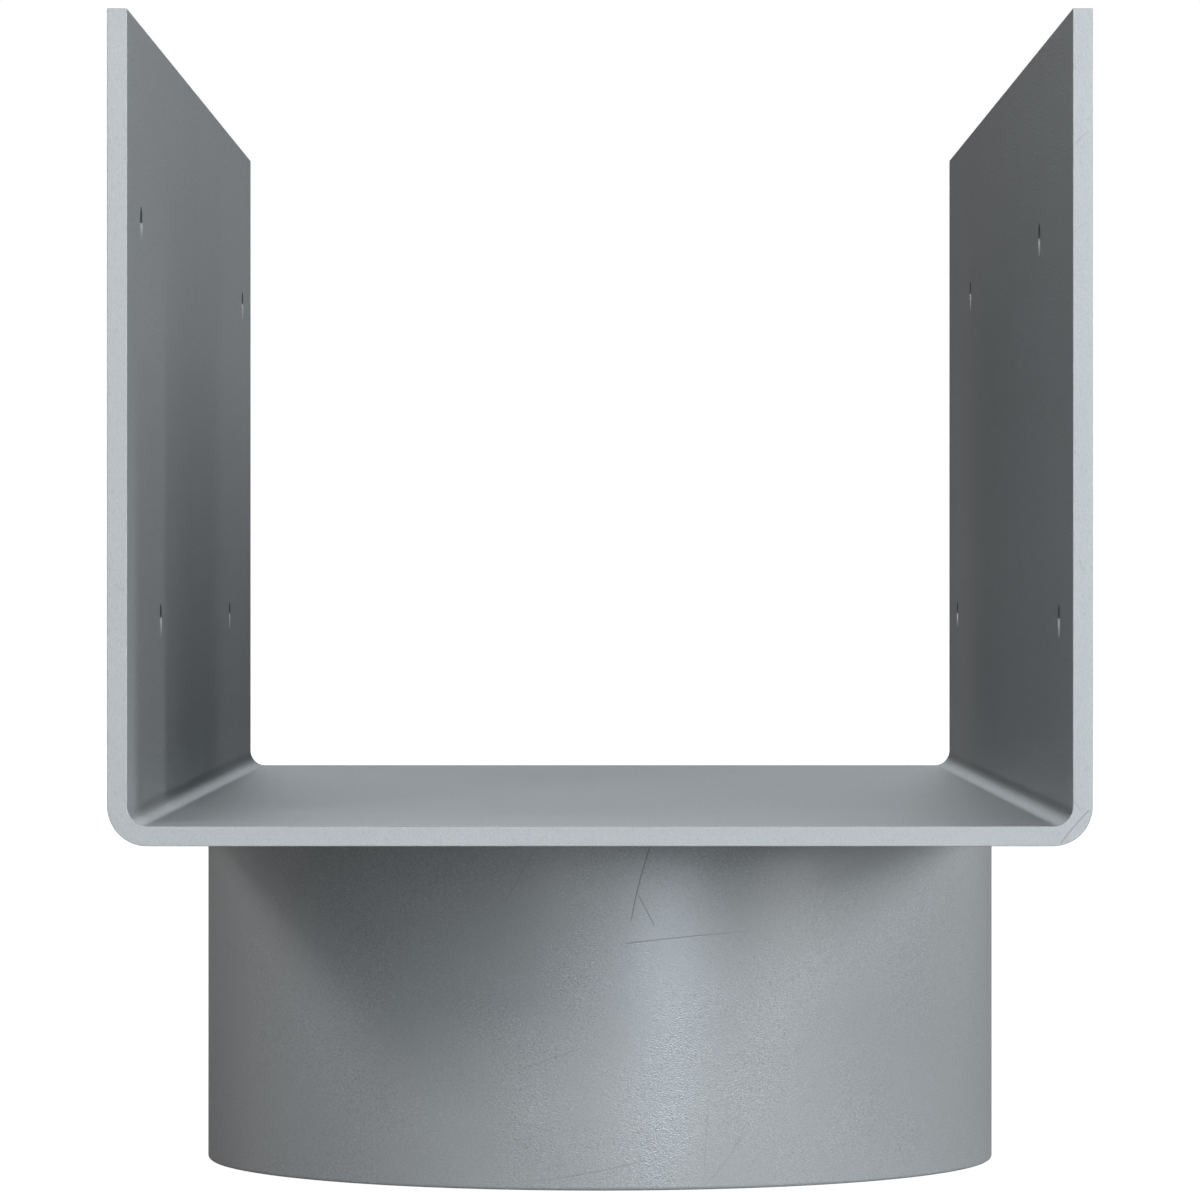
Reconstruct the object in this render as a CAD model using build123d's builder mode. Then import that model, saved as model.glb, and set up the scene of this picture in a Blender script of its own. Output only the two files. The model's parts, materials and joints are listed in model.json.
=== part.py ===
"""Column cap: a folded steel saddle that holds a beam, welded on a short sleeve that drops over a round column.

Millimetres. +Z is up and the beam lies along Y. The origin is the middle of the sleeve's lower rim, so the cap
stands on the XY plane. IN is the length of one inch, because the cap is made to inch sizes.
"""

import os

from build123d import *

# Saddle: one strap of steel sheet, folded twice into a U
beam_gap = 4.625 * IN  # clear width between the legs, for a beam of 4 1/2 in
saddle_length = 11.5 * IN
leg_height = 4 * IN  # from the saddle's floor to the top of a leg
sheet_thickness = 2.5
bend_radius = 2.5  # on the inside of each fold

# Nail holes: two rows on each leg. The wide and the narrow pair swap rows from leg to leg,
# so that nails driven from opposite sides miss each other inside the beam.
nail_hole_diameter = 4.3
lower_row_height = 1 * IN  # above the saddle's floor
upper_row_height = 3 * IN
wide_pair_setback = 1 * IN  # from the ends of a leg
narrow_pair_setback = 2.5 * IN

# Sleeve: a length of round pipe, open at the bottom and closed at the top by the saddle
column_diameter = 4 * IN
column_clearance = 0.33  # between the column and the bore, all round
pipe_wall = 6.02
sleeve_length = 2 * IN
rim_chamfer = 0.5  # on both edges of the lower rim

# Welds: a fillet bead in front of the sleeve and one behind it, clear of the folds
weld_leg = 3.0
weld_bulge = 0.35  # rise of the bead's face above the straight line between its toes
weld_arc = 100  # degrees of the sleeve that each bead covers
weld_end_turn = 100  # degrees that a rounded end turns, past square, so that it closes on the sleeve

# Places that follow from the sizes
bore_radius = column_diameter / 2 + column_clearance
sleeve_radius = bore_radius + pipe_wall
floor_height = sleeve_length + sheet_thickness
leg_top = floor_height + leg_height
leg_inside = beam_gap / 2
leg_outside = leg_inside + sheet_thickness

# Saddle
with BuildPart() as beam_saddle:
    with BuildSketch(Plane.XZ):
        with BuildLine():
            FilletPolyline(
                (-leg_inside, leg_top),
                (-leg_inside, floor_height),
                (leg_inside, floor_height),
                (leg_inside, leg_top),
                radius=bend_radius,
            )
            offset(amount=sheet_thickness, side=Side.RIGHT)
        make_face()
    extrude(amount=saddle_length / 2, both=True)

    # Each row: the side its leg is on, its height above the floor, and the setback of its holes
    nail_rows = (
        (-1, upper_row_height, wide_pair_setback),
        (-1, lower_row_height, narrow_pair_setback),
        (1, upper_row_height, narrow_pair_setback),
        (1, lower_row_height, wide_pair_setback),
    )
    for side, row_height, setback in nail_rows:
        row_middle = (side * leg_outside, 0, floor_height + row_height)
        with Locations(Plane(row_middle, x_dir=(0, 1, 0), z_dir=(side, 0, 0))):
            with GridLocations(saddle_length - 2 * setback, 0, 2, 1):
                Hole(nail_hole_diameter / 2, depth=sheet_thickness)

# Sleeve
with BuildPart() as column_sleeve:
    with BuildSketch():
        Circle(sleeve_radius)
        Circle(bore_radius, mode=Mode.SUBTRACT)
    extrude(amount=sleeve_length)
    lower_rim = column_sleeve.faces().sort_by(Axis.Z)[0]
    chamfer(lower_rim.edges(), rim_chamfer)

# Front weld: half of the bead, from its middle to its rounded end, and the mirrored other half
with BuildPart() as front_weld:
    end_plane = Plane.XZ.rotated((0, 0, weld_arc / 2 - 90))
    with BuildSketch(end_plane) as bead_section:
        with BuildLine():
            root = (sleeve_radius, sleeve_length)
            pipe_toe = (sleeve_radius, sleeve_length - weld_leg)
            plate_toe = (sleeve_radius + weld_leg, sleeve_length)
            SagittaArc(pipe_toe, plate_toe, -weld_bulge)
            Polyline(plate_toe, root, pipe_toe)
        make_face()
    revolve(bead_section.sketch, axis=Axis.Z, revolution_arc=-weld_arc / 2)
    end_axis = Axis(end_plane.from_local_coords(root), (0, 0, 1))
    revolve(bead_section.sketch, axis=end_axis, revolution_arc=weld_end_turn)
    Cylinder(
        sleeve_radius,
        sleeve_length,
        align=(Align.CENTER, Align.CENTER, Align.MIN),
        mode=Mode.SUBTRACT,
    )
    mirror(about=Plane.YZ)

# Rear weld
with BuildPart() as rear_weld:
    mirror(front_weld.part, about=Plane.XZ)

# One STEP file for each piece
beam_saddle.part.label = "beam_saddle"
column_sleeve.part.label = "column_sleeve"
front_weld.part.label = "front_weld"
rear_weld.part.label = "rear_weld"
os.makedirs("parts", exist_ok=True)
export_step(beam_saddle.part, "parts/beam_saddle.step")
export_step(column_sleeve.part, "parts/column_sleeve.step")
export_step(front_weld.part, "parts/front_weld.step")
export_step(rear_weld.part, "parts/rear_weld.step")
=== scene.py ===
# %% [markdown]
# # A painted steel column cap
# The real object is a weldment: a strap of steel sheet, folded twice so that it holds a beam, on a short
# length of pipe that drops over a round column. It was welded, and then painted grey. The sizes and
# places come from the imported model, and this script gives each piece its true edges, its weld beads and
# its finish.

# %% Load the frame
import json
from math import asin, atan2, cos, degrees, hypot, pi, radians, sin, sqrt
from random import Random

import bmesh
import bpy
from mathutils import Matrix, Vector


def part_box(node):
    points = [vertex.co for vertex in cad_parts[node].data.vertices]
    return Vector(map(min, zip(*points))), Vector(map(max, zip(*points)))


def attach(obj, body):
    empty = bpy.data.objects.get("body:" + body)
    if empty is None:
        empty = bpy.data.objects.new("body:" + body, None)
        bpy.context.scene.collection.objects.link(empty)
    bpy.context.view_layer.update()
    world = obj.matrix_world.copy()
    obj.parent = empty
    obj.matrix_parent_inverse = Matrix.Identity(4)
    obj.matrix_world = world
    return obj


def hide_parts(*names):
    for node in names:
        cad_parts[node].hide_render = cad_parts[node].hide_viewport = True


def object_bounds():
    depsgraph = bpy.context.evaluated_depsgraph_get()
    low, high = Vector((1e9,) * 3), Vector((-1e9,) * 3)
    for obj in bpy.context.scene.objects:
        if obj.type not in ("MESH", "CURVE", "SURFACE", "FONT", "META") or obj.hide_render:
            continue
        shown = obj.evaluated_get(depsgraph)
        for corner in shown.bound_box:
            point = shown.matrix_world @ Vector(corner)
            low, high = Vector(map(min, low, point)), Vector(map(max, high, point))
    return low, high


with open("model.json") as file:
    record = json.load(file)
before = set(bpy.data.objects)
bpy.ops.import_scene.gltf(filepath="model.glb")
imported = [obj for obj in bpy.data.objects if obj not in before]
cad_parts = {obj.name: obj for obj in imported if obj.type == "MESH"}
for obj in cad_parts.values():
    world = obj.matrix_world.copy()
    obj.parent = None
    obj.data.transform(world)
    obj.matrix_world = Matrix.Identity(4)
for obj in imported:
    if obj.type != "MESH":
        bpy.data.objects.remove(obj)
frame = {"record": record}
cad_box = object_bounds()
MM = 0.001
print("the cap is", [round(size / MM, 2) for size in cad_box[1] - cad_box[0]], "mm")

# %% [markdown]
# ## The camera first
# The photograph looks straight along the beam's channel, with the camera level, so all upright edges stay
# upright and the two ends of the saddle are alike but for their size. A camera can be turned until the
# picture fits, but a level one needs no turning: its height puts the horizon, its distance sets how much
# smaller the far end looks, and a slight shift moves the picture without tilting it. The photograph gives
# all three: the long edges of the saddle meet at one point on the horizon, and the near end's size in
# pixels gives the focal length once the distance is known.

# %% Camera
PHOTO_PIXELS = 1200
FOCAL_PIXELS = 6653
HORIZON_ROW = 592
CAMERA_TO_NEAR_END = 0.8264
CAMERA_HEIGHT = 0.0824
SENSOR_WIDTH = 36.0  # millimetres

camera_data = bpy.data.cameras.new("photo_camera")
camera = bpy.data.objects.new("photo_camera", camera_data)
bpy.context.scene.collection.objects.link(camera)
bpy.context.scene.camera = camera
camera_data.sensor_width = SENSOR_WIDTH
camera_data.lens = SENSOR_WIDTH * FOCAL_PIXELS / PHOTO_PIXELS
camera_data.shift_y = (HORIZON_ROW - PHOTO_PIXELS / 2) / PHOTO_PIXELS
camera.location = (0, cad_box[0].y - CAMERA_TO_NEAR_END, CAMERA_HEIGHT)
camera.rotation_euler = (radians(90), 0, 0)
print(f"lens {camera_data.lens:.1f} mm at {-camera.location.y:.3f} m from the middle of the cap")

# %% [markdown]
# ## Sizes from the frame
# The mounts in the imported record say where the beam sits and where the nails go, so nothing is measured
# twice. The saddle's box gives its outside, the seat gives the thickness of the sheet, and each pair of
# nail holes is a mount with a middle, a spacing and a radius. Only the radius of the folds isn't in the
# record, so it is written here.

# %% Sizes
FOLD_RADIUS = 2.5 * MM
saddle_low, saddle_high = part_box("beam_saddle")
sleeve_low, sleeve_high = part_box("column_sleeve")
mounts = {mount["name"]: mount for mount in frame["record"]["mounts"]}
floor_top = mounts["beam_seat"]["pos_m"][2]
sheet = floor_top - saddle_low.z
sleeve_radius = sleeve_high.x
bore_radius = mounts["column_bore"]["dims"]["r_mm"] * MM
print(f"sheet {sheet / MM:.2f} mm, sleeve {2 * sleeve_radius / MM:.1f} mm outside")

# %% [markdown]
# ## A few helpers for working by hand in code
# Modelling in edit mode is choosing some faces or edges and then using an operator on them. With a mouse
# the choice is a click. In code it is a test on the place or the direction of each face or edge.


# %% Helpers
SAME_LENGTH = 0.02 * MM


def start_piece(name, add_primitive, **size_and_place):
    """Adds a primitive with nothing else selected, and names it."""
    bpy.ops.object.select_all(action="DESELECT")
    add_primitive(**size_and_place)
    piece = bpy.context.object
    piece.name = name
    piece.data.name = name
    return piece


def select_edges(test):
    """In edit mode, selects the edges whose two ends pass the test."""
    bpy.ops.mesh.select_mode(type="EDGE")
    bpy.ops.mesh.select_all(action="DESELECT")
    shape = bmesh.from_edit_mesh(bpy.context.object.data)
    for edge in shape.edges:
        edge.select_set(all(test(vertex.co) for vertex in edge.verts))
    bmesh.update_edit_mesh(bpy.context.object.data)


def select_faces(test):
    """In edit mode, selects the faces whose middle and normal pass the test."""
    bpy.ops.mesh.select_mode(type="FACE")
    bpy.ops.mesh.select_all(action="DESELECT")
    shape = bmesh.from_edit_mesh(bpy.context.object.data)
    for face in shape.faces:
        face.select_set(test(face.calc_center_median(), face.normal))
    bmesh.update_edit_mesh(bpy.context.object.data)


def select_only(pieces):
    """Selects these pieces and nothing else, and makes the first one active."""
    bpy.ops.object.select_all(action="DESELECT")
    for piece in pieces:
        piece.select_set(True)
    bpy.context.view_layer.objects.active = pieces[0]


def join(pieces):
    """Joins the pieces into the first one."""
    select_only(pieces)
    bpy.ops.object.join()
    return bpy.context.object


def use_modifier(piece, kind, **settings):
    """Adds a modifier, gives it its settings and applies it."""
    bpy.context.view_layer.objects.active = piece
    modifier = piece.modifiers.new(kind.lower(), kind)
    for name, value in settings.items():
        setattr(modifier, name, value)
    bpy.ops.object.modifier_apply(modifier=modifier.name)


def place_in_mesh(piece):
    """Moves the object's place, turn and scale into its mesh."""
    select_only([piece])
    bpy.ops.object.transform_apply(location=True, rotation=True, scale=True)


def near(value, target):
    """True for two lengths that are the same but for rounding."""
    return abs(value - target) < SAME_LENGTH


# %% [markdown]
# ## The saddle
# The real saddle starts as a flat strap, which a press brake folds along two lines. It could be cut from
# a block, or drawn as a thick U and extruded. Folding the flat strip is closer to how it was made, and
# the sheet then has one thickness everywhere: the floor is a plane, each fold is its long edge spun a
# quarter turn, each leg is the fold's edge pulled straight up, and a Solidify modifier gives the sheet
# its thickness on the outside.

# %% Fold the strap
FOLD_STEPS = 20
MERGE_DISTANCE = 0.001 * MM
flat_half = saddle_high.x - sheet - FOLD_RADIUS
strap_length = saddle_high.y - saddle_low.y
saddle = start_piece("saddle", bpy.ops.mesh.primitive_plane_add, size=1, location=(0, 0, floor_top))
place_in_mesh(saddle)
bpy.ops.object.mode_set(mode="EDIT")
bpy.ops.mesh.select_all(action="SELECT")
bpy.ops.transform.resize(value=(2 * flat_half, strap_length, 1), center_override=(0, 0, floor_top))
for side in (-1, 1):
    select_edges(lambda place: near(place.x, side * flat_half))
    fold_middle = (side * flat_half, 0, floor_top + FOLD_RADIUS)
    bpy.ops.mesh.spin(steps=FOLD_STEPS, angle=radians(90), center=fold_middle, axis=(0, side, 0))
    fold_end = floor_top + FOLD_RADIUS
    select_edges(lambda place: side * place.x > flat_half and near(place.z, fold_end))
    bpy.ops.mesh.extrude_region_move(
        TRANSFORM_OT_translate={"value": (0, 0, saddle_high.z - fold_end)}
    )
bpy.ops.mesh.select_all(action="SELECT")
bpy.ops.mesh.remove_doubles(threshold=MERGE_DISTANCE)
bpy.ops.mesh.normals_make_consistent(inside=False)
bpy.ops.object.mode_set(mode="OBJECT")
print("the strip has", len(saddle.data.polygons), "faces before it gets its thickness")

# %% [markdown]
# ## Nail holes
# The holes are punched through both legs in two rows, and the wide and the narrow pair swap rows from leg
# to leg, so that nails from opposite sides miss each other in the beam. A punched hole is a cylinder
# taken away, which is what a Boolean modifier does, once for all eight. The cutters run from the outside
# of each leg to well inside it, so their ends are never flush with a face of the sheet, which a Boolean
# finds hard.

# %% Thicken the sheet and punch it
HOLE_SIDES = 48
PUNCH_LENGTH = 4 * sheet
use_modifier(saddle, "SOLIDIFY", thickness=sheet, offset=1, use_even_offset=True)
cutters = []
holes = []
for mount in mounts.values():
    if mount["kind"] != "bolt_pattern":
        continue
    middle = Vector(mount["pos_m"])
    hole_radius = mount["dims"]["hole_r_mm"] * MM
    for direction in (-1, 1):
        along = Vector((0, direction * mount["dims"]["spacing_x_mm"] * MM / 2, 0))
        cutter = start_piece(
            "nail_punch",
            bpy.ops.mesh.primitive_cylinder_add,
            vertices=HOLE_SIDES,
            radius=hole_radius,
            depth=PUNCH_LENGTH,
            location=middle + along,
            rotation=(0, radians(90), 0),
        )
        cutters.append(cutter)
        holes.append(middle + along)
punch = join(cutters)
place_in_mesh(punch)
use_modifier(saddle, "BOOLEAN", operation="DIFFERENCE", solver="EXACT", object=punch)
bpy.data.objects.remove(punch)
print("punched", len(holes), "nail holes")

# %% [markdown]
# ## Edges that catch the light
# No sheared or punched edge is a perfect corner: the blow rounds it a little and the paint rounds it
# further. Along some corners the photograph shows a lighter line, thin as a hair, so the rounding is a
# tenth of a millimetre. A Bevel modifier by angle finds all such edges, and its hardened normals keep the
# large faces flat, with the whole turn of the shading on the narrow bevel.

# %% Round the sheared edges
EDGE_ROUNDING = 0.1 * MM
EDGE_STEPS = 3
CORNER_ANGLE = radians(40)


def round_edges(piece):
    """Rounds every corner of the piece, and shades it smoothly."""
    select_only([piece])
    bpy.ops.object.shade_smooth()
    use_modifier(
        piece,
        "BEVEL",
        width=EDGE_ROUNDING,
        segments=EDGE_STEPS,
        limit_method="ANGLE",
        angle_limit=CORNER_ANGLE,
        use_clamp_overlap=False,
        harden_normals=True,
    )


round_edges(saddle)
print("the saddle has", len(saddle.data.polygons), "faces")

# %% [markdown]
# ## The sleeve
# The sleeve is sawn from pipe. A tube could be two cylinders with the inner one taken away, but an open
# cylinder with a Solidify modifier keeps the wall a single number, the same all round. The lower rim is
# the edge that a hand meets and a column enters, so it is rounded wider, by a bevel of its two loops. The
# other edges are only broken.

# %% Sleeve
SLEEVE_SIDES = 256
RIM_ROUNDING = 0.5 * MM
RIM_STEPS = 4
sleeve_length = sleeve_high.z - sleeve_low.z
sleeve = start_piece(
    "sleeve",
    bpy.ops.mesh.primitive_cylinder_add,
    vertices=SLEEVE_SIDES,
    radius=sleeve_radius,
    depth=sleeve_length,
    end_fill_type="NOTHING",
    location=(0, 0, sleeve_length / 2),
)
place_in_mesh(sleeve)
use_modifier(sleeve, "SOLIDIFY", thickness=sleeve_radius - bore_radius, offset=-1, use_even_offset=True)
bpy.ops.object.mode_set(mode="EDIT")
select_faces(lambda middle, normal: near(middle.z, sleeve_low.z))
bpy.ops.mesh.region_to_loop()
bpy.ops.mesh.bevel(offset=RIM_ROUNDING, segments=RIM_STEPS)
bpy.ops.object.mode_set(mode="OBJECT")
round_edges(sleeve)
print("the sleeve has", len(sleeve.data.polygons), "faces")

# %% [markdown]
# ## The welds
# A fillet weld fills the corner between the pipe and the underside of the saddle, in front and behind,
# where a torch can reach. Its face shows how it was laid: the molten pool moves on in small steps and
# each step freezes as a thin round ripple that lies on the one before, like a fallen stack of coins. A
# swept section with a bump pattern would look painted on. So the bead is built as it was laid, ripple by
# ripple on a round core. First come its sizes, from the solid that stands for it in the frame.

# %% The size of the weld
bead_low, bead_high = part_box("front_weld")
weld_leg = bead_high.z - bead_low.z
weld_half_angle = asin((bead_high.x - weld_leg) / sleeve_radius)
face_width = sqrt(2) * weld_leg
weld_root = Vector((0, -sleeve_radius, saddle_low.z))
outward = Vector((0, -1, -1)).normalized()
across = Vector((0, -1, 1)).normalized()
travel = Vector((1, 0, 0))
face_middle = weld_root + outward * face_width / 2
print(f"{weld_leg / MM:.1f} mm fillet over {degrees(2 * weld_half_angle):.0f} degrees of the sleeve")

# %% [markdown]
# ## One ripple
# A frozen ripple is a thin disc with a round rim. A turned profile could give it, but a sphere pressed
# flat has such a rim with no further work. It leans back against the travel, and its middle lies just
# under the weld's face.

# %% One ripple
RIPPLE_THICKNESS = 1.0 * MM
RIPPLE_OVERLAP = 1.06
RIPPLE_SINK = 0.1 * MM
RIPPLE_SIDES = 28
RIPPLE_RINGS = 14


def lay_ripple(angle, size, lean, drift):
    """One ripple of the bead, at this angle round the sleeve from the front."""
    ripple = start_piece(
        "ripple",
        bpy.ops.mesh.primitive_uv_sphere_add,
        segments=RIPPLE_SIDES,
        ring_count=RIPPLE_RINGS,
        radius=0.5,
    )
    ripple.scale = (size * face_width, size * RIPPLE_OVERLAP * face_width, RIPPLE_THICKNESS)
    axes = Matrix((travel, across, outward)).transposed().to_4x4()
    leaning = axes @ Matrix.Rotation(lean, 4, "Y")
    place = Matrix.Translation(face_middle + across * drift - outward * RIPPLE_SINK)
    ripple.matrix_world = Matrix.Rotation(angle, 4, "Z") @ place @ leaning @ ripple.matrix_basis
    place_in_mesh(ripple)
    return ripple


# %% [markdown]
# ## The core under the ripples
# Ripples alone would leave hollows between them and the corner. A round bar in the corner fills these. It
# could follow a curve object, but a circle at one end of the weld, spun about the sleeve's own axis,
# keeps to the sleeve exactly.

# %% The core
# Radius and depth are shares of the width of the weld's face.
CORE_RADIUS = 0.3
CORE_DEPTH = 0.32
CORE_SIDES = 20
CORE_STEPS = 80


def lay_core():
    """The round core of the bead, spun along the sleeve from a circle at one end."""
    core = start_piece(
        "core",
        bpy.ops.mesh.primitive_circle_add,
        vertices=CORE_SIDES,
        radius=CORE_RADIUS * face_width,
        fill_type="NGON",
        rotation=(0, radians(90), 0),
        location=weld_root + outward * CORE_DEPTH * face_width,
    )
    place_in_mesh(core)
    core.data.transform(Matrix.Rotation(-weld_half_angle, 4, "Z"))
    bpy.ops.object.mode_set(mode="EDIT")
    bpy.ops.mesh.select_all(action="SELECT")
    bpy.ops.mesh.spin(steps=CORE_STEPS, angle=2 * weld_half_angle, center=(0, 0, 0), axis=(0, 0, -1))
    bpy.ops.mesh.select_all(action="SELECT")
    bpy.ops.mesh.normals_make_consistent(inside=False)
    bpy.ops.object.mode_set(mode="OBJECT")
    return core


# %% [markdown]
# ## Laying the bead
# No hand moves quite evenly, so each ripple differs a little from the last in size, lean, place and
# distance. The chances come from a seeded generator, so every run lays the same bead. The joined ripples
# cross each other in hundreds of places, which would shade badly, so a voxel Remesh melts the pile into
# one skin, and a little smoothing takes away its steps.

# %% Lay the front bead
RIPPLE_PITCH = 1.05 * MM
RIPPLE_LEAN = radians(9)
PITCH_SPREAD = 0.15
SIZE_SPREAD = 0.03
LEAN_SPREAD = 1.5  # degrees
DRIFT_SPREAD = 0.07  # millimetres
BEAD_SEED = 4
VOXEL = 0.17 * MM
SMOOTHING = 0.5
SMOOTH_PASSES = 2


def lay_bead(name):
    """The core and its ripples, melted together."""
    chance = Random(BEAD_SEED)
    parts = [lay_core()]
    step = RIPPLE_PITCH / sleeve_radius
    angle = -weld_half_angle
    while angle <= weld_half_angle:
        size = 1 + chance.uniform(-SIZE_SPREAD, SIZE_SPREAD)
        lean = RIPPLE_LEAN + radians(chance.uniform(-LEAN_SPREAD, LEAN_SPREAD))
        drift = chance.uniform(-DRIFT_SPREAD, DRIFT_SPREAD) * MM
        parts.append(lay_ripple(angle, size, lean, drift))
        angle += step * chance.uniform(1 - PITCH_SPREAD, 1 + PITCH_SPREAD)
    ripples = len(parts) - 1
    bead = join(parts)
    bead.name = name
    bead.data.name = name
    use_modifier(bead, "REMESH", mode="VOXEL", voxel_size=VOXEL)
    use_modifier(bead, "SMOOTH", factor=SMOOTHING, iterations=SMOOTH_PASSES)
    print(ripples, "ripples,", len(bead.data.polygons), "faces")
    return bead


front_bead = lay_bead("front_bead")

# %% [markdown]
# ## Trimming the bead
# The real bead is fused to the steel, so its skin ends exactly on both faces. The underside of the saddle
# is flat, so there a bisect cuts the bead and closes the cut. The pipe is round, so there it takes a
# Boolean, with as many sides as the sleeve has, so that the two surfaces agree.

# %% Trim the bead to the steel
BEAD_CORNER_ANGLE = radians(50)
bpy.ops.object.mode_set(mode="EDIT")
bpy.ops.mesh.select_all(action="SELECT")
bpy.ops.mesh.bisect(
    plane_co=(0, 0, saddle_low.z),
    plane_no=(0, 0, 1),
    clear_outer=True,
    use_fill=True,
    threshold=MERGE_DISTANCE,
)
bpy.ops.object.mode_set(mode="OBJECT")
pipe_space = start_piece(
    "pipe_space",
    bpy.ops.mesh.primitive_cylinder_add,
    vertices=SLEEVE_SIDES,
    radius=sleeve_radius,
    depth=2 * sleeve_length,
    location=(0, 0, sleeve_length),
)
use_modifier(front_bead, "BOOLEAN", operation="DIFFERENCE", solver="EXACT", object=pipe_space)
bpy.data.objects.remove(pipe_space)
select_only([front_bead])
bpy.ops.object.shade_smooth_by_angle(angle=BEAD_CORNER_ANGLE)
print("trimmed to", len(front_bead.data.polygons), "faces")

# %% [markdown]
# ## The rear bead
# The rear bead was laid by the same hand, on round the pipe in the same direction. So it is the front
# bead turned half round, with a mesh of its own.

# %% Rear bead
rear_bead = front_bead.copy()
rear_bead.data = front_bead.data.copy()
rear_bead.name = "rear_bead"
rear_bead.data.name = "rear_bead"
bpy.context.scene.collection.objects.link(rear_bead)
rear_bead.data.transform(Matrix.Rotation(radians(180), 4, "Z"))
print("the rear bead has", len(rear_bead.data.polygons), "faces of its own")

# %% [markdown]
# ## Writing a finish as expressions
# A shader is arithmetic on numbers that change over the surface. Node by node it takes many lines and
# hides the sums, so one small class wraps a socket and lets Python's own operators add the Math nodes.
# Every other node comes from one method, which takes the node's type, its settings and what goes into its
# sockets.


# %% Shader expressions
class Value:
    """A socket of a finish. Arithmetic on it adds Math nodes."""

    def __init__(self, finish, socket):
        self.finish = finish
        self.socket = socket

    def math(self, operation, *others, clamp=False):
        """One Math node on this value and the others."""
        settings = {"operation": operation, "use_clamp": clamp}
        return self.finish.node("ShaderNodeMath", settings, dict(enumerate((self, *others))))

    def __add__(self, other):
        return self.math("ADD", other)

    def __sub__(self, other):
        return self.math("SUBTRACT", other)

    def __rsub__(self, other):
        return self * -1.0 + other

    def __mul__(self, other):
        return self.math("MULTIPLY", other)

    def __abs__(self):
        return self.math("ABSOLUTE")

    def __gt__(self, other):
        return self.math("GREATER_THAN", other)

    def clamped(self):
        """The value, kept between 0 and 1."""
        return self.math("ADD", 0.0, clamp=True)

    __radd__ = __add__
    __rmul__ = __mul__


class Finish:
    """A material that is written as expressions."""

    def __init__(self, name):
        self.material = bpy.data.materials.new(name)
        self.material.use_nodes = True
        self.tree = self.material.node_tree
        self.tree.nodes.clear()

    def node(self, kind, settings=None, sockets=None, output=0):
        """Adds a node with these settings, feeds its sockets, and gives back one output as a Value."""
        made = self.tree.nodes.new(kind)
        for name, value in (settings or {}).items():
            setattr(made, name, value)
        for key, value in (sockets or {}).items():
            if isinstance(value, Value):
                self.tree.links.new(value.socket, made.inputs[key])
            else:
                made.inputs[key].default_value = value
        return Value(self, made.outputs[output]) if made.outputs else None

    def place(self):
        """The point on the piece, in metres."""
        return self.node("ShaderNodeTexCoord", output="Object")

    def mapped(self, place, kind="POINT", **sockets):
        """The place moved, turned or stretched."""
        return self.node("ShaderNodeMapping", {"vector_type": kind}, {"Vector": place, **sockets})

    def split(self, place):
        """The three coordinates of a place, each as a number."""
        return [self.node("ShaderNodeSeparateXYZ", {}, {0: place}, output=axis) for axis in range(3)]

    def noise(self, place, feature_size, detail=2.0):
        """A cloudy pattern about 0.5, with features of this size."""
        sockets = {"Vector": place, "Scale": 1 / feature_size, "Detail": detail}
        return self.node("ShaderNodeTexNoise", {}, sockets)

    def mix(self, amount, plain, other):
        """The plain colour, going over to the other by this amount."""
        sockets = {"Factor": amount, "A": plain, "B": other}
        return self.node("ShaderNodeMix", {"data_type": "RGBA"}, sockets, output=2)


# %% [markdown]
# ## Grey paint
# One grey paint covers the whole cap, half matt, like a dipped or sprayed primer. It isn't a flat grey.
# The film drew together as it dried, into a fine leathery skin of short curled strokes a few tenths of a
# millimetre across, which shows best where the light turns the corner of the pipe. A photograph of
# leather would give that, but it would slide and repeat. Noise can do it from the surface's own
# coordinates: stretched noise makes strokes, noise that is first pushed about by a slower noise makes
# them curl, and a third, slower still, says where the skin is strong or faint. The skin goes into the
# bump, and its valleys are also darker in the colour, which is painted shade. The highlight on the pipe
# is brighter and narrower than that of a plain film, as with a paint that has a little metal in it, so
# the shader is part metal.

# %% Paint and its skin
PAINT_GREY = (0.432, 0.466, 0.486, 1)
PAINT_ROUGHNESS = 0.38
PAINT_GLOSS = 0.8
PAINT_METAL = 0.3
STROKE_SIZE = 0.25 * MM
FLAT_STROKES = (1, 1, 2)
UPRIGHT_STROKES = (2, 2, 1)
LONG_STROKES = (1, 0.15, 1)
CURL_SIZE = 1.2 * MM
CURL_REACH = 0.8 * MM
PATCH_SIZE = 14 * MM
PATCH_START = 0.38
PATCH_STEEPNESS = 4.0
FAINTEST = 0.4
SKIN_HEIGHT = 0.028 * MM
# Painted shade: how much darker the colour is in the valleys of the skin.
PAINTED_VALLEY_SHADE = 0.4
CLOUD_SIZE = 30 * MM
CLOUD_SHADE = 0.07


def leathery_skin(paint, place, squeeze=FLAT_STROKES, faintest=FAINTEST):
    """Height of the paint's skin, from 0 to 1, strong in some patches and faint in others."""
    curls = {"Vector": place, "Scale": 1 / CURL_SIZE, "Detail": 1.0}
    pushes = paint.node("ShaderNodeTexNoise", {}, curls, output="Color")
    reach = (CURL_REACH, CURL_REACH, CURL_REACH)
    push = paint.node("ShaderNodeVectorMath", {"operation": "MULTIPLY"}, {0: pushes, 1: reach})
    curled = paint.node("ShaderNodeVectorMath", {"operation": "ADD"}, {0: place, 1: push})
    strokes = paint.noise(paint.mapped(curled, Scale=squeeze), STROKE_SIZE, detail=0.0)
    patches = ((paint.noise(place, PATCH_SIZE) - PATCH_START) * PATCH_STEEPNESS).clamped()
    return (strokes - 0.5) * (faintest + (1 - faintest) * patches) + 0.5


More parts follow.
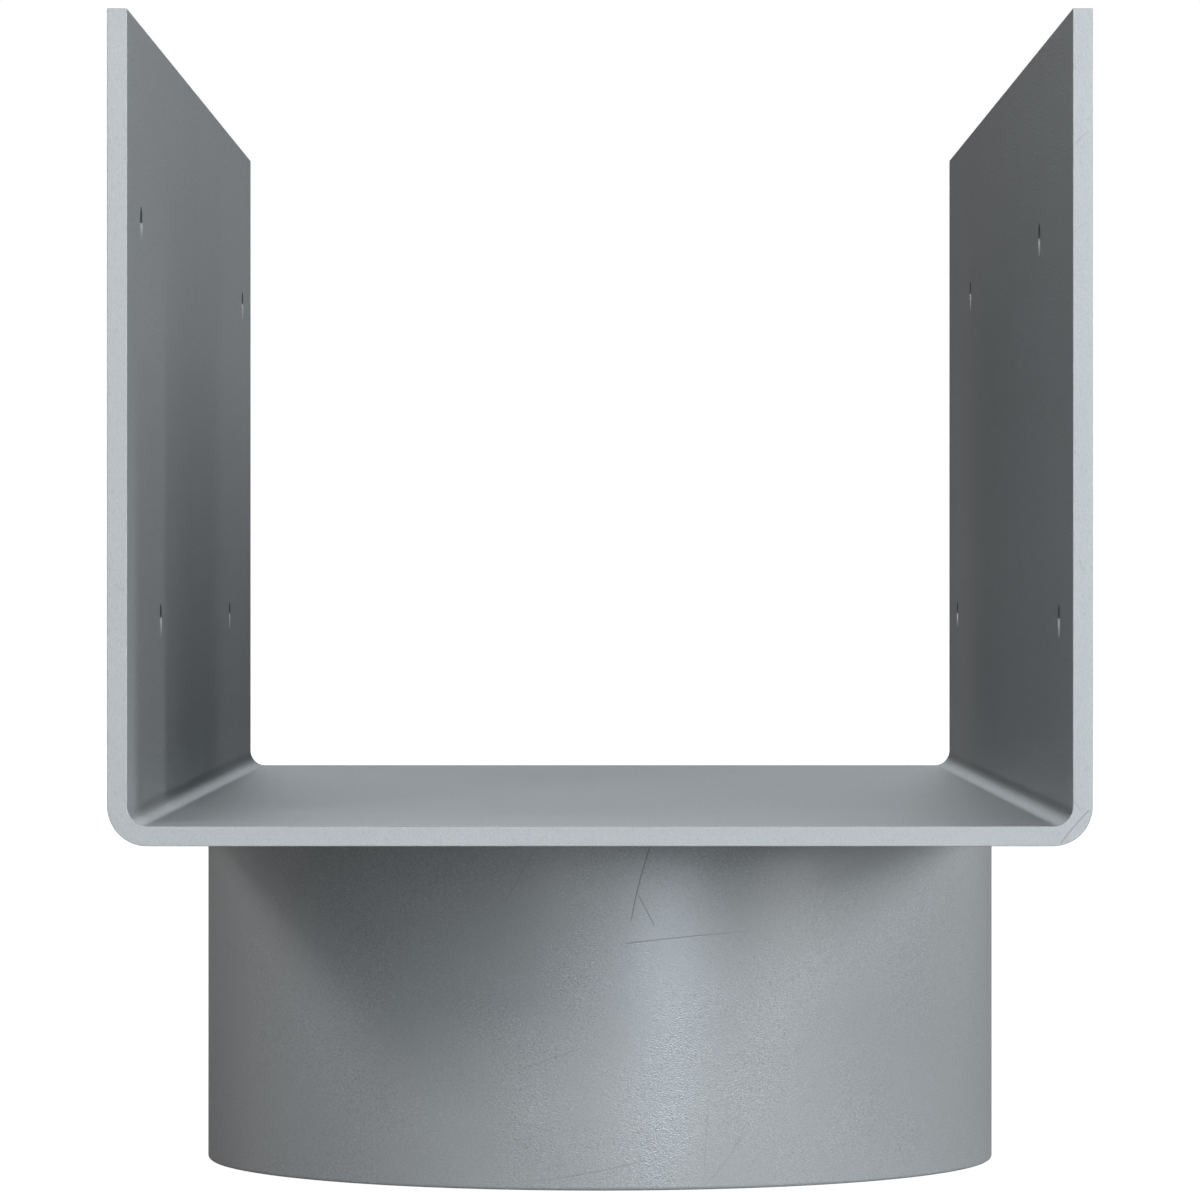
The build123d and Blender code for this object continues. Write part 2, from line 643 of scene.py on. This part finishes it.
def grey_tone_and_painted_valley_shade(paint, place, skin, painted_valley_shade=PAINTED_VALLEY_SHADE):
    """The paint's grey, darker in large soft clouds of uneven tone, and with painted shade in the valleys
    of its skin.
    """
    clouds = paint.noise(place, CLOUD_SIZE, detail=3.0)
    # The clouds are the paint's own uneven tone; the darker valleys are painted shade.
    shade = 1.0 - clouds * CLOUD_SHADE - (0.5 - skin) * painted_valley_shade
    sockets = {0: PAINT_GREY[:3], "Scale": shade}
    return paint.node("ShaderNodeVectorMath", {"operation": "SCALE"}, sockets)


# %% [markdown]
# ## Scratches
# The photograph shows a handful of thin scratches on the sleeve and on the near ends of the saddle, from
# handling. A scratch could be a groove in the mesh, but it is a tenth of a millimetre wide and has no
# depth that the eye can see. So each is a mask in the paint: a frame is laid along the scratch, one unit
# long, and the mask is 1 where the distance across it is less than the scratch's width, fading towards
# both ends. It darkens the paint and presses the bump in. On the sleeve the scratch is laid out on the
# unrolled surface: the way round, and the height.


# %% A scratch
SCRATCH_WIDTH = 0.14 * MM


def scratch(paint, flat_place, start, end, bow=0.0, fade_in=0.06, fade_out=0.3, strength=1.0):
    """A mask that is 1 along a scratch. Start, end and bow are in millimetres on the unrolled surface."""
    chord = (Vector(end) - Vector(start)) * MM
    sockets = {
        "Location": (start[0] * MM, start[1] * MM, 0),
        "Rotation": (0, 0, atan2(chord.y, chord.x)),
        "Scale": (chord.length, chord.length, 1),
    }
    along, across, _ = paint.split(paint.mapped(flat_place, kind="TEXTURE", **sockets))
    middle_line = along * (1.0 - along) * (4 * bow * MM / chord.length)
    line = (1.0 - abs(across - middle_line) * (chord.length / SCRATCH_WIDTH)).clamped()
    faded = (along * (1 / fade_in)).clamped() * ((1.0 - along) * (1 / fade_out)).clamped()
    return line * faded * strength


def all_scratches(paint, flat_place, strokes):
    """One mask for a list of scratches."""
    masks = [scratch(paint, flat_place, **stroke) for stroke in strokes]
    whole = masks[0]
    for mask in masks[1:]:
        whole = whole.math("MAXIMUM", mask)
    return whole


# %% [markdown]
# ## Three uses of the one paint, and painted shade in the holes
# The sleeve has the deepest painted shade in the valleys of its skin, and most of the scratches. On the
# saddle's broad faces the skin is drawn out along the saddle, like the grain of rolled sheet under a film
# of paint. The sheared ends and tops took the paint over a torn edge, so their skin is faint and upright,
# a little less glossy, and peppered with small flecks. The upper wall of each nail hole looks down, and
# is given a dark grey as painted shade, so each hole is dark above and light below. One function closes
# every finish, and takes what is different as arguments: the height for the bump, the colour, how deep
# the bump is and how rough the film.

# %% Make the paints
FLECK_GREY = (0.36, 0.39, 0.41, 1)
SCRATCH_GREY = (0.17, 0.185, 0.19, 1)
FLECK_SIZE = 0.4 * MM
TALL_FLECKS = (1, 1, 0.5)
FLECK_START = 0.57
FLECK_STEEPNESS = 8.0
FLECK_STRENGTH = 0.7
# Painted shade: the dark grey for the walls of the nail holes that look down.
HOLE_SHADE_GREY = (0.1, 0.11, 0.115, 1)
# Painted shade in the valleys of the sleeve's skin, the deepest of all.
SLEEVE_PAINTED_VALLEY_SHADE = 0.7
FACE_RELIEF = 0.05 * MM
EDGE_FAINTEST = 0.7
# Painted shade in the valleys of the skin on the sheared edges.
EDGE_PAINTED_VALLEY_SHADE = 0.27
EDGE_RELIEF = 0.018 * MM
EDGE_ROUGHNESS = 0.47
SCRATCH_DEPTH = 0.25

sleeve_scratches = [
    {"start": (7.0, 47.6), "end": (4.2, 36.7), "bow": -0.25, "fade_out": 0.08},
    {"start": (4.8, 41.6), "end": (7.6, 36.2), "fade_in": 0.25, "fade_out": 0.1, "strength": 0.8},
    {
        "start": (3.3, 34.0),
        "end": (21.4, 35.6),
        "bow": 0.1,
        "fade_in": 0.03,
        "fade_out": 0.5,
        "strength": 0.85,
    },
    {"start": (-9.0, 47.0), "end": (-14.1, 38.0), "strength": 0.27},
    {"start": (14.5, 2.6), "end": (15.3, 15.5), "strength": 0.23},
    {"start": (14.3, 0.4), "end": (20.6, 9.1), "bow": -0.7, "strength": 0.27},
    {"start": (-9.8, 1.2), "end": (8.9, 4.9), "bow": -0.4, "fade_in": 0.2, "strength": 0.38},
    {"start": (-12.2, 16.2), "end": (-0.5, 20.4), "fade_in": 0.2, "strength": 0.27},
    {"start": (27.8, 18.7), "end": (29.5, 19.4), "strength": 0.3},
]
end_scratches = [
    {
        "start": (57.2, 51.1),
        "end": (61.0, 55.5),
        "bow": 0.15,
        "fade_in": 0.05,
        "fade_out": 0.1,
        "strength": 0.7,
    },
    {"start": (58.9, 56.4), "end": (59.8, 55.1), "strength": 0.4},
    {"start": (59.1, 138.0), "end": (61.0, 139.7), "bow": 0.2, "strength": 0.45},
    {"start": (58.9, 127.2), "end": (60.9, 128.5), "strength": 0.23},
    {"start": (59.6, 86.4), "end": (60.2, 84.9), "strength": 0.23},
    {"start": (-60.5, 83.3), "end": (-58.8, 82.5), "strength": 0.23},
]


def paint_surface(paint, height, colour, relief=SKIN_HEIGHT, roughness=PAINT_ROUGHNESS):
    """Closes a finish with the bump, the colour and the half matt gloss of the paint."""
    bump = paint.node("ShaderNodeBump", {}, {"Strength": 1.0, "Distance": relief, "Height": height})
    sockets = {
        "Base Color": colour,
        "Metallic": PAINT_METAL,
        "Roughness": roughness,
        "Specular IOR Level": PAINT_GLOSS,
        "Normal": bump,
    }
    surface = paint.node("ShaderNodeBsdfPrincipled", {}, sockets)
    paint.node("ShaderNodeOutputMaterial", {}, {"Surface": surface})
    return paint.material


def make_face_paint():
    """The paint on the saddle's broad faces and on the beads."""
    paint = Finish("grey_paint")
    place = paint.place()
    skin = leathery_skin(paint, place, LONG_STROKES)
    return paint_surface(paint, skin, grey_tone_and_painted_valley_shade(paint, place, skin), FACE_RELIEF)


def make_painted_hole_shade():
    """Painted shade: a dark grey for the upper walls of each nail hole, with the paint's skin in the bump.
    """
    paint = Finish("thin_grey_paint")
    place = paint.place()
    return paint_surface(paint, leathery_skin(paint, place), HOLE_SHADE_GREY)


def make_sleeve_paint():
    """The paint on the sleeve, with its scratches."""
    paint = Finish("grey_paint_scratched")
    place = paint.place()
    x, y, z = paint.split(place)
    way_round = x.math("ARCTAN2", y * -1.0) * sleeve_radius
    unrolled = paint.node("ShaderNodeCombineXYZ", {}, {0: way_round, 1: z})
    marks = all_scratches(paint, unrolled, sleeve_scratches)
    skin = leathery_skin(paint, place)
    # The grey, with painted shade in the valleys of the skin.
    grey_with_valley_shade = grey_tone_and_painted_valley_shade(paint, place, skin, SLEEVE_PAINTED_VALLEY_SHADE)
    colour = paint.mix(marks, grey_with_valley_shade, SCRATCH_GREY)
    return paint_surface(paint, skin - marks * SCRATCH_DEPTH, colour)


def make_edge_paint():
    """The paint on the sheared edges, with its flecks and scratches."""
    paint = Finish("grey_paint_on_sheared_edge")
    place = paint.place()
    x, y, z = paint.split(place)
    flat_place = paint.node("ShaderNodeCombineXYZ", {}, {0: x, 1: z})
    marks = all_scratches(paint, flat_place, end_scratches) * (y * -1.0 > 0.0)
    skin = leathery_skin(paint, place, UPRIGHT_STROKES, EDGE_FAINTEST)
    grain = paint.noise(paint.mapped(place, Scale=TALL_FLECKS), FLECK_SIZE, detail=3.0)
    flecks = ((grain - FLECK_START) * FLECK_STEEPNESS).clamped() * FLECK_STRENGTH
    # The grey, with painted shade in the valleys of the skin.
    grey_with_valley_shade = grey_tone_and_painted_valley_shade(paint, place, skin, EDGE_PAINTED_VALLEY_SHADE)
    colour = paint.mix(marks, paint.mix(flecks, grey_with_valley_shade, FLECK_GREY), SCRATCH_GREY)
    return paint_surface(paint, skin - marks * SCRATCH_DEPTH, colour, EDGE_RELIEF, EDGE_ROUGHNESS)


face_paint = make_face_paint()
sleeve_paint = make_sleeve_paint()
edge_paint = make_edge_paint()
# The dark grey in the nail holes is painted shade.
hole_shade_paint = make_painted_hole_shade()
for material in (face_paint, sleeve_paint, edge_paint, hole_shade_paint):
    print(material.name, "has", len(material.node_tree.nodes), "nodes")

# %% [markdown]
# ## Putting the pieces on the frame
# Each piece takes the place of its plain CAD solid. The cap has one rigid body, so all four ride on it.
# The sleeve gets the scratched paint, and the other three get the paint of the broad faces.

# %% Put the pieces on the frame
pieces = {
    "beam_saddle": saddle,
    "column_sleeve": sleeve,
    "front_weld": front_bead,
    "rear_weld": rear_bead,
}
for node_name, piece in pieces.items():
    piece.data.materials.clear()
    piece.data.materials.append(sleeve_paint if piece is sleeve else face_paint)
    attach(piece, "root")
    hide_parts(node_name)

# %% [markdown]
# ## Other paints on parts of the saddle
# The faces that a shear has cut, the saddle's ends and the tops of its legs, have a paint of their own.
# The walls of the nail holes that look down get a dark grey, which is painted shade. Masks in one large
# material could tell them apart, but a second and a third slot on the same mesh keep each finish simple.
# The faces are selected by direction and place.

# %% Paint the sheared edges and the holes
SQUARE_ON = 0.95
LOOKS_DOWN = -0.1


def is_sheared(middle, normal):
    """True for a face of the saddle's ends, and of the tops of its legs."""
    on_top = normal.z > SQUARE_ON and near(middle.z, saddle_high.z)
    return on_top or abs(normal.y) > SQUARE_ON


def on_upper_wall(middle, normal):
    """True for a face of a nail hole that looks down."""
    reach = hole_radius + 2 * EDGE_ROUNDING
    in_hole = any(hypot(middle.y - hole.y, middle.z - hole.z) < reach for hole in holes)
    return in_hole and normal.z < LOOKS_DOWN


select_only([saddle])
# The second pass paints shade on the walls of the nail holes that look down.
for paint, test in ((edge_paint, is_sheared), (hole_shade_paint, on_upper_wall)):
    saddle.data.materials.append(paint)
    saddle.active_material_index = len(saddle.data.materials) - 1
    bpy.ops.object.mode_set(mode="EDIT")
    select_faces(test)
    bpy.ops.object.material_slot_assign()
    bpy.ops.object.mode_set(mode="OBJECT")
    slot = saddle.active_material_index
    count = sum(face.material_index == slot for face in saddle.data.polygons)
    print(count, "of the saddle's faces have", paint.name)

# %% [markdown]
# ## A floor that is white and still takes a shadow
# The cap stands on a pale floor, and the photograph's background is plain white. Light enough to make the
# floor that white would bleach the paint. So the floor glows, but only for rays that come straight from
# the camera, which the Light Path node tells apart. To every other ray it is plain pale card, so that it
# sends a little light up under the saddle as a real table does. The glow stops just short of white near
# the cap and the lamps add the rest, so where the cap keeps their light away its shadow stays. Further
# off the floor is lit less, and there the glow is full. The floor lies a hair below the rim, since two
# faces in one plane would flicker through each other.

# %% Floor
# Both in metres
FLOOR_SIZE = 12
FLOOR_SHIFT_BACK = 4
FLOOR_GAP = 0.1 * MM
CARD_GREY = (0.47, 0.47, 0.47, 1)
SHADOW_DEPTH = 0.08
SHADOW_REACH = 0.9
WHITE = (1, 1, 1, 1)

floor = start_piece(
    "floor",
    bpy.ops.mesh.primitive_plane_add,
    size=FLOOR_SIZE,
    location=(0, FLOOR_SHIFT_BACK, -FLOOR_GAP),
)
place_in_mesh(floor)


def make_card():
    """Pale card that glows white to the camera, but for the cap's shadow."""
    card = Finish("white_card")
    seen = card.node("ShaderNodeLightPath", output="Is Camera Ray")
    length = {"operation": "LENGTH"}
    distance = card.node("ShaderNodeVectorMath", length, {0: card.place()}, output="Value")
    near_cap = (1.0 - distance * (1 / SHADOW_REACH)).clamped()
    strength = seen * (1.0 - near_cap * SHADOW_DEPTH)
    glow = card.node("ShaderNodeEmission", {}, {"Color": WHITE, "Strength": strength})
    lit = card.node("ShaderNodeBsdfDiffuse", {}, {"Color": CARD_GREY})
    both = card.node("ShaderNodeAddShader", {}, {0: lit, 1: glow})
    card.node("ShaderNodeOutputMaterial", {}, {"Surface": both})
    return card.material


floor.data.materials.append(make_card())
print("the floor is", FLOOR_SIZE, "m wide")

# %% [markdown]
# ## Soft studio light
# The photograph was lit by softboxes, and its shadows tell where they stood. The saddle's shadow slants
# across the left of the pipe, and all lamps that throw the same slanting line lie on one curve: the
# further round to the left, the higher. The three lamps on the left stand near that curve. An upright box
# to the right of the camera puts the upright highlight on the pipe, and low ones beside it reach in under
# the saddle. Two tall lamps on the right light the inside of the left leg, and their light stops at an
# upright line. Two lamps behind graze the rear half of each leg, and one straight behind makes the seat
# pale, because it is seen so flat that it mirrors what is beyond it. The overhead lamp rounds the folds.
# A world picture would give such light too, but lamps can be placed one by one. Each is a rectangle that
# faces the cap from the same distance, so its strength alone says how much light it gives. The lit sides
# of the paint look a touch cooler than the shaded ones, so some boxes are tinted cool and others warm.

# %% Lamps
LAMP_DISTANCE = 2.5
AIM = Vector((0, 0, 0.08))
PLAIN = (1.0, 1.0, 1.0)
COOL = (0.94, 1.0, 1.04)
WARM = (1.04, 1.0, 0.98)
WARMER = (1.08, 1.0, 0.96)


def softbox(name, azimuth, elevation, width, height, light, tint=PLAIN):
    """A lamp that faces the cap. Azimuth 0 is in front and 90 on the right, in degrees."""
    around = radians(azimuth)
    up = radians(elevation)
    way = Vector((sin(around) * cos(up), -cos(around) * cos(up), sin(up)))
    data = bpy.data.lights.new(name, "AREA")
    data.shape = "RECTANGLE"
    data.size = width
    data.size_y = height
    data.color = tint
    data.energy = light * pi * LAMP_DISTANCE**2
    lamp = bpy.data.objects.new(name, data)
    lamp.location = AIM + way * LAMP_DISTANCE
    lamp.rotation_euler = (-way).to_track_quat("-Z", "Y").to_euler()
    bpy.context.scene.collection.objects.link(lamp)


# Azimuth and elevation in degrees, width and height in metres, light, tint
softbox("front_strip", 19, 6.5, 0.4, 0.5, 0.95, COOL)
softbox("low_left", -4, 2, 0.8, 0.3, 0.13)
softbox("low_right", 47, 11, 0.35, 0.5, 0.2, WARM)
softbox("high_left", -17, 17, 0.2, 0.35, 0.72, WARM)
softbox("left_side", -50, 37, 0.3, 0.3, 0.23, WARMER)
softbox("far_left", -84, 34, 0.3, 0.3, 0.18, WARMER)
softbox("right_strip", 56, 18, 0.15, 1.3, 0.65, WARM)
softbox("right_side", 79, 28, 0.25, 0.9, 1.1)
softbox("rear_right", 131, 16, 0.4, 1.3, 0.2, WARM)
softbox("rear_left", -123, 12, 0.8, 0.6, 0.18, WARMER)
softbox("rear", 182, 18, 1.25, 0.75, 0.225, COOL)
softbox("overhead", 0, 75, 0.8, 0.8, 0.1, COOL)

# %% [markdown]
# ## The world
# The world is the white background that the camera sees. To all other rays it is a dim even light, as
# from the walls of a studio. The cap has no bare metal and no glass that would need the background to
# mirror. In the photograph the insides of the legs are dark, though seen so flat that they would mirror a
# white room. So only the camera's own rays are told apart here.

# %% World
ROOM_LIGHT = 0.01


def make_world():
    """White to the camera, and a dim even light to everything else."""
    world = bpy.data.worlds.new("studio")
    world.use_nodes = True
    nodes = world.node_tree.nodes
    links = world.node_tree.links
    seen = nodes.new("ShaderNodeLightPath").outputs["Is Camera Ray"]
    strength = nodes.new("ShaderNodeMix")
    strength.inputs["A"].default_value = ROOM_LIGHT
    strength.inputs["B"].default_value = 1.0
    links.new(seen, strength.inputs["Factor"])
    background = nodes["Background"]
    background.inputs["Color"].default_value = WHITE
    links.new(strength.outputs["Result"], background.inputs["Strength"])
    return world


bpy.context.scene.world = make_world()
bpy.context.scene.view_settings.view_transform = "Standard"
bpy.context.scene.cycles.use_denoising = True
print("the room gives", ROOM_LIGHT, "of the background's light")
